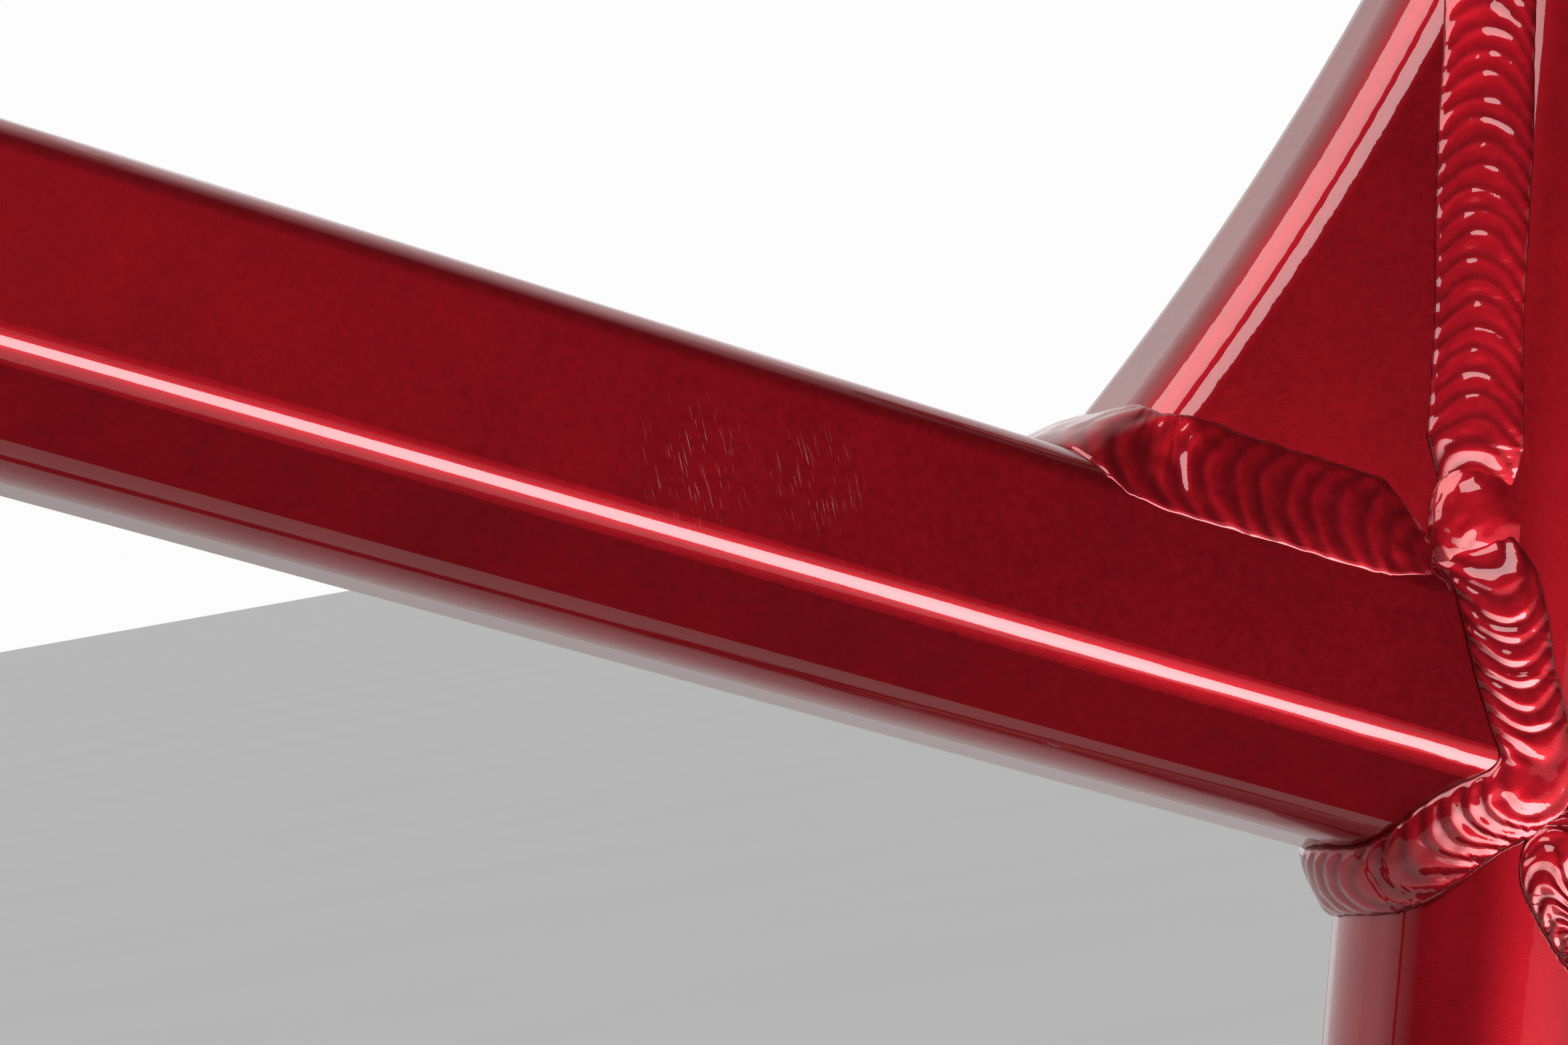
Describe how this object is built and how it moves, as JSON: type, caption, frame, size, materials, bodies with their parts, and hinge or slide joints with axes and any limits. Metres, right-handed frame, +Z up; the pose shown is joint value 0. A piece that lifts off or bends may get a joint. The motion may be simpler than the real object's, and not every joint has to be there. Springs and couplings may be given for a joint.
{
  "type": "bicycle frame",
  "caption": "Welded aluminium hardtail bicycle frame with a shaped top tube, a box gusset at the seat cluster, rippled weld beads and a quick-release seat clamp.",
  "frame": {"origin": "centre of the bottom bracket shell", "axes": "+Z up, -X towards the front wheel, +Y towards the chain side, mm in the source and metres in the row"},
  "size_m": [0.9142, 0.1638, 0.6173],
  "materials": {
    "candy_red": "metallic candy red under a glossy clear coat",
    "bare_aluminium": "machined and lightly brushed",
    "black_anodised": "black anodised, satin",
    "steel": "zinc plated",
    "black_plastic": "moulded, matte"
  },
  "bodies": {
    "frame": {"bottle_bosses": "bare_aluminium", "bottom_bracket_shell": "candy_red", "cable_stop": "candy_red", "chainstay_bridge": "candy_red", "chainstay_left": "candy_red", "chainstay_right": "candy_red", "clamp_cam_seat": "black_plastic", "clamp_collar": "black_anodised", "clamp_pivot": "steel", "clamp_skewer": "steel", "clamp_washer": "steel", "derailleur_hanger": "bare_aluminium", "disc_tab": "candy_red", "down_tube": "candy_red", "down_tube_guides": "candy_red", "dropout_left": "candy_red", "dropout_right": "candy_red", "hanger_screws": "steel", "head_tube": "candy_red", "hose_guides": "candy_red", "seat_gusset": "candy_red", "seat_tube": "candy_red", "seatstay_bridge": "candy_red", "seatstay_left": "candy_red", "seatstay_right": "candy_red", "shell_cable_guide": "black_plastic", "shell_guide_screw": "steel", "top_tube": "candy_red", "weld_bridges": "candy_red", "weld_chainstays": "candy_red", "weld_disc_tab": "candy_red", "weld_down_tube_shell": "candy_red", "weld_dropouts": "candy_red", "weld_gusset_seat_tube": "candy_red", "weld_gusset_top_tube": "candy_red", "weld_head_down_tube": "candy_red", "weld_head_top_tube": "candy_red", "weld_seat_tube_shell": "candy_red", "weld_seatstays": "candy_red", "weld_top_tube_seat_tube": "candy_red"},
    "clamp_lever": {"clamp_lever": "black_anodised"},
    "clamp_nut": {"clamp_nut": "black_anodised"}
  },
  "joints": [
    {"name": "clamp_lever_hinge", "type": "hinge", "parent": "frame", "child": "clamp_lever", "pos_m": [0.16609, -0.02115, 0.45159], "axis": [0.2924, 0, 0.9563], "range_deg": [0, 170]},
    {"name": "clamp_nut_turn", "type": "hinge", "parent": "frame", "child": "clamp_nut", "pos_m": [0.16609, 0.01575, 0.45159], "axis": [0, 1, 0], "continuous": true}
  ]
}
